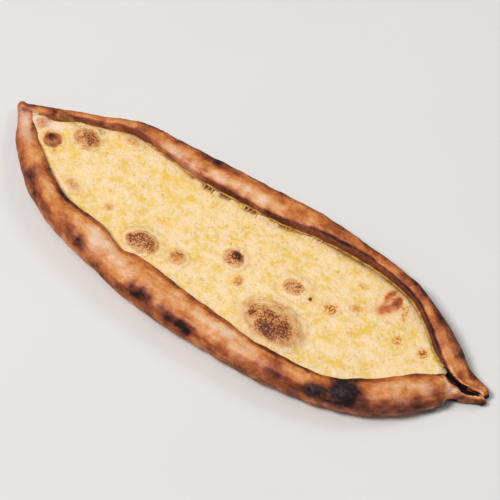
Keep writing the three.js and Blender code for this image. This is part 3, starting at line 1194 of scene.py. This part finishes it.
BAKED_SURFACE = baking_group()
FINE_PORES = pore_group()
SCORCHED_FLECKS = fleck_group()
MELTED_CURDS = milk_group()


def grouped(tree, group, **inputs):
    """A shader node group placed in a material, with its own values."""
    node = tree.nodes.new("ShaderNodeGroup")
    node.node_tree = group
    return feed(tree, node, inputs)


def stored(tree, name):
    """A value that a piece keeps for each of its points."""
    return made(tree, "ShaderNodeAttribute", {}, "Fac", attribute_name=name)


def new_material(name):
    material = bpy.data.materials.new(name)
    material.use_nodes = True
    return material, material.node_tree, material.node_tree.nodes["Principled BSDF"]


def bumped(tree, height, distance):
    """The surface's normal, tilted by a height given as a share of a distance in mm."""
    return made(tree, "ShaderNodeBump", {"Height": height, "Distance": distance * MM}, "Normal")


def pored(tree, size, depth):
    """The height of fine pores."""
    return result(grouped(tree, FINE_PORES, Size=size, Depth=depth), "Height")


def streaked(tree, size, length, detail=2.0):
    """Noise from 0 to 1 in streaks along the rims, `size` mm wide and `length` times as long."""
    way = made(tree, "ShaderNodeAttribute", {}, "Vector", attribute_name="rim_way")
    drawn = vector_maths(tree, "MULTIPLY", way, (1 / length, 1, 1))
    inputs = {"Vector": drawn, "Scale": 1 / (size * MM), "Detail": detail}
    return made(tree, "ShaderNodeTexNoise", inputs, "Fac")


def crust_material():
    material, tree, surface = new_material("baked_crust")
    swing = maths(tree, "SUBTRACT", streaked(tree, 2.6, 2.2, 4.0), 0.5)
    # The stored darkness holds the baking and the painted shade and highlights worked into it.
    bake = maths(tree, "MULTIPLY_ADD", swing, 0.24, stored(tree, "bake"))
    baked = grouped(tree, BAKED_SURFACE, Baking=bake, Mottling=0.14, Grain=2.6)
    flecks = grouped(tree, SCORCHED_FLECKS, Cover=bake, Size=2.0)
    scorch = times(tree, result(flecks, "Mask"), stepped(tree, bake, 0.8, -0.6))
    # Pink and purple tints; on the far rim's inner side the purple is painted shade.
    pink = times(tree, stored(tree, "blush"), stepped(tree, speckle(tree, 12, 3.0), 0.3, 0.7))
    pink = times(tree, pink, stepped(tree, bake, 0.9, 0.75))
    flushed = layered(tree, tint(226, 178, 164), [
        (stepped(tree, bake, 0.3, 0.62), 1, (156, 90, 76)),
        (stepped(tree, bake, 0.62, 0.8), 1, (102, 52, 48)),
    ])
    # Grey on the char: a painted sheen, partly ash.
    ash_and_sheen = times(tree, stored(tree, "ash_and_sheen"), stepped(tree, speckle(tree, 3, 4.0), 0.3, 0.7))
    body = layered(tree, result(baked, "Color"), [
        (scorch, 0.6, (104, 56, 36)),
        (pink, 0.7, flushed),
        (ash_and_sheen, 0.45, (140, 134, 134)),
        ("gild", 1, (176, 122, 44)),
    ])
    height = maths(tree, "ADD", pored(tree, 0.9, 0.6), streaked(tree, 1.6, 4))
    feed(tree, surface, {
        "Base Color": body,
        "Roughness": result(baked, "Roughness"),
        "Normal": bumped(tree, height, 0.5),
        "Coat Weight": times(tree, stepped(tree, bake, 0.8, 0.5), 0.2),
        "Coat Roughness": 0.3,
        "Specular IOR Level": 0.25,
    })
    return material


def cheese_material():
    material, tree, surface = new_material("melted_cheese")
    milk = grouped(tree, MELTED_CURDS, Richness=0.0, Curd=2.5)
    brown = stored(tree, "brown")
    smudge = stored(tree, "smudge")
    patchy = stepped(tree, speckle(tree, 5), 0.3, 0.6)
    halo = times(tree, stored(tree, "halo"), patchy)
    rim = times(tree, stored(tree, "rim"), patchy)
    charring = maths(tree, "MULTIPLY_ADD", brown, 0.2, 0.56)
    charred = grouped(tree, BAKED_SURFACE, Baking=charring, Mottling=0.1, Grain=2.6)
    flecks = grouped(tree, SCORCHED_FLECKS, Cover=brown, Size=2.5)
    stroke = layered(tree, tint(158, 88, 44), [
        (stepped(tree, brown, 0.42, 0.62), 1, (108, 48, 16)),
        (stepped(tree, brown, 0.8, 1.2), 1, result(charred, "Color")),
    ])
    baking = maths(tree, "MULTIPLY_ADD", smudge, 0.5, 0.36)
    skin = grouped(tree, BAKED_SURFACE, Baking=baking, Mottling=0.16, Grain=2.0)
    body = layered(tree, result(milk, "Color"), [
        ("pinhole", 0.4, (200, 150, 72)),
        ("bare", 1, (250, 218, 194)),
        ("ring", 0.75, (248, 213, 168)),
        (halo, 0.36, (206, 150, 74)),
        (stepped(tree, brown, 0.04, 0.45), 1, (230, 170, 106)),
        (stepped(tree, brown, 0.4, 0.9), 1, (188, 112, 52)),
        (result(flecks, "Mask"), stepped(tree, brown, 0.06, 0.5), stroke),
        # The dark line inside the blisters' edges: partly browning, partly painted shade.
        (rim, 0.6, (182, 116, 54)),
        ("fold", 0.85, (236, 188, 120)),
        # Olive patches: stains, and painted shadow at the left end.
        ("olive", 0.8, (136, 98, 36)),
        (stepped(tree, smudge, 0.0, 0.34), 1, result(skin, "Color")),
        ("amber", 0.85, (240, 188, 72)),
        ("amber", stepped(tree, speckle(tree, 1.8, 1.0), 0.44, 0.54), (184, 66, 20)),
        # The groove along the far rim is dark gold, partly a cheese stain and partly painted shade beside the
        # rim.
        ("groove", 1, (146, 98, 8)),
        (stepped(tree, stored(tree, "groove"), 0.92, 1.0), 1, (150, 84, 18)),
    ])
    height = maths(tree, "ADD", result(milk, "Height"), pored(tree, 1.3, 0.7))
    feed(tree, surface, {
        "Base Color": body,
        "Normal": bumped(tree, height, 0.3),
        "Roughness": 0.5,
        "Specular IOR Level": 0.35,
    })
    return material


def curd_material():
    """Half-melted curds, a little paler or yellower one by one."""
    material, tree, surface = new_material("half_melted_curds")
    milk = grouped(tree, MELTED_CURDS, Richness=-0.02, Curd=2.5)
    own = stored(tree, "tone")
    body = layered(tree, result(milk, "Color"), [
        (stepped(tree, own, 0.4, 0.1), 0.5, (252, 222, 186)),
        (stepped(tree, own, 0.7, 0.95), 0.5, (242, 204, 108)),
    ])
    normal = bumped(tree, pored(tree, 0.8, 0.6), 0.2)
    feed(tree, surface, {"Base Color": body, "Normal": normal, "Roughness": 0.45})
    return material


def rind_material():
    """Cheese that has crept up the rim and browned there."""
    material, tree, surface = new_material("browned_rind")
    flecks = grouped(tree, SCORCHED_FLECKS, Cover=0.1, Size=1.4)
    body = layered(tree, tint(226, 174, 78), [
        (stepped(tree, speckle(tree, 5, 3.0), 0.4, 0.62), 1, (166, 114, 36)),
        (result(flecks, "Mask"), 1, (96, 52, 18)),
    ])
    normal = bumped(tree, pored(tree, 0.9, 0.8), 0.3)
    feed(tree, surface, {"Base Color": body, "Normal": normal, "Roughness": 0.4})
    return material


def strand_material():
    material, tree, surface = new_material("stretched_cheese")
    milk = grouped(tree, MELTED_CURDS, Richness=0.1, Curd=2.0)
    patches = stepped(tree, speckle(tree, 2.2), 0.45, 0.6)
    body = blend(tree, patches, result(milk, "Color"), tint(234, 190, 100))
    feed(tree, surface, {"Base Color": body, "Roughness": 0.4})
    return material


# Stage


def placed_looking(piece, turn, elevation, distance, target=(0, 0, 0)):
    """Puts a camera or light at a turn and an elevation from a target, facing it."""
    away = Vector((sin(turn) * cos(elevation), -cos(turn) * cos(elevation), sin(elevation)))
    piece.location = (Vector(target) + away * distance) * MM
    piece.rotation_euler = (-away).to_track_quat("-Z", "Y").to_euler()
    SCENE.collection.objects.link(piece)


def make_camera():
    """A camera at the photograph's viewing angle."""
    camera = bpy.data.objects.new("camera", bpy.data.cameras.new("camera"))
    camera.data.sensor_width = SENSOR
    camera.data.lens = LENS
    camera.data.clip_end = 20
    placed_looking(camera, CAMERA_TURN, CAMERA_ELEVATION, CAMERA_DISTANCE, CAMERA_TARGET)
    SCENE.camera = camera


def soft_light(name, turn, elevation, distance, size, power):
    """A square soft light that looks at the loaf from a turn and an elevation in degrees."""
    light = bpy.data.objects.new(name, bpy.data.lights.new(name, "AREA"))
    light.data.size = size * MM
    light.data.energy = power
    placed_looking(light, radians(turn), radians(elevation), distance)


FLOOR_REACH = 3000


def make_floor():
    """A plain pale floor with faint, broad unevenness in its tone."""
    corners = np.array([(-1, -1, 0), (1, -1, 0), (1, 1, 0), (-1, 1, 0)])
    mesh = new_mesh("floor", corners * FLOOR_REACH, faces=[(0, 1, 2, 3)])
    material, tree, surface = new_material("pale_floor")
    tone = blend(tree, speckle(tree, 160, 1.0), tint(222, 220, 218), tint(228, 226, 224))
    feed(tree, surface, {"Base Color": tone, "Roughness": 0.8})
    mesh.materials.append(material)
    linked("floor", mesh)


def make_light():
    soft_light("key", turn=318, elevation=62, distance=3000, size=900, power=62)
    soft_light("back", turn=150, elevation=45, distance=2600, size=900, power=13)
    soft_light("top", turn=300, elevation=84, distance=2400, size=1600, power=7.5)
    world = bpy.data.worlds.new("room")
    world.use_nodes = True
    warm_white = (1, 0.97, 0.94, 1)
    room = world.node_tree.nodes["Background"]
    feed(world.node_tree, room, {"Color": warm_white, "Strength": 0.2})
    SCENE.world = world
    SCENE.view_settings.view_transform = "Standard"


make_camera()
make_light()
make_floor()

crust = make_crust(crust_material())
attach(crust, "root")
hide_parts("bread")

cheese = make_cheese(cheese_material())
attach(cheese, "root")
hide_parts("cheese")

toppings = [
    make_curds(cheese, curd_material()),
    make_rind(rind_material()),
    make_strands(strand_material()),
]
for topping in toppings:
    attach(topping, "root")
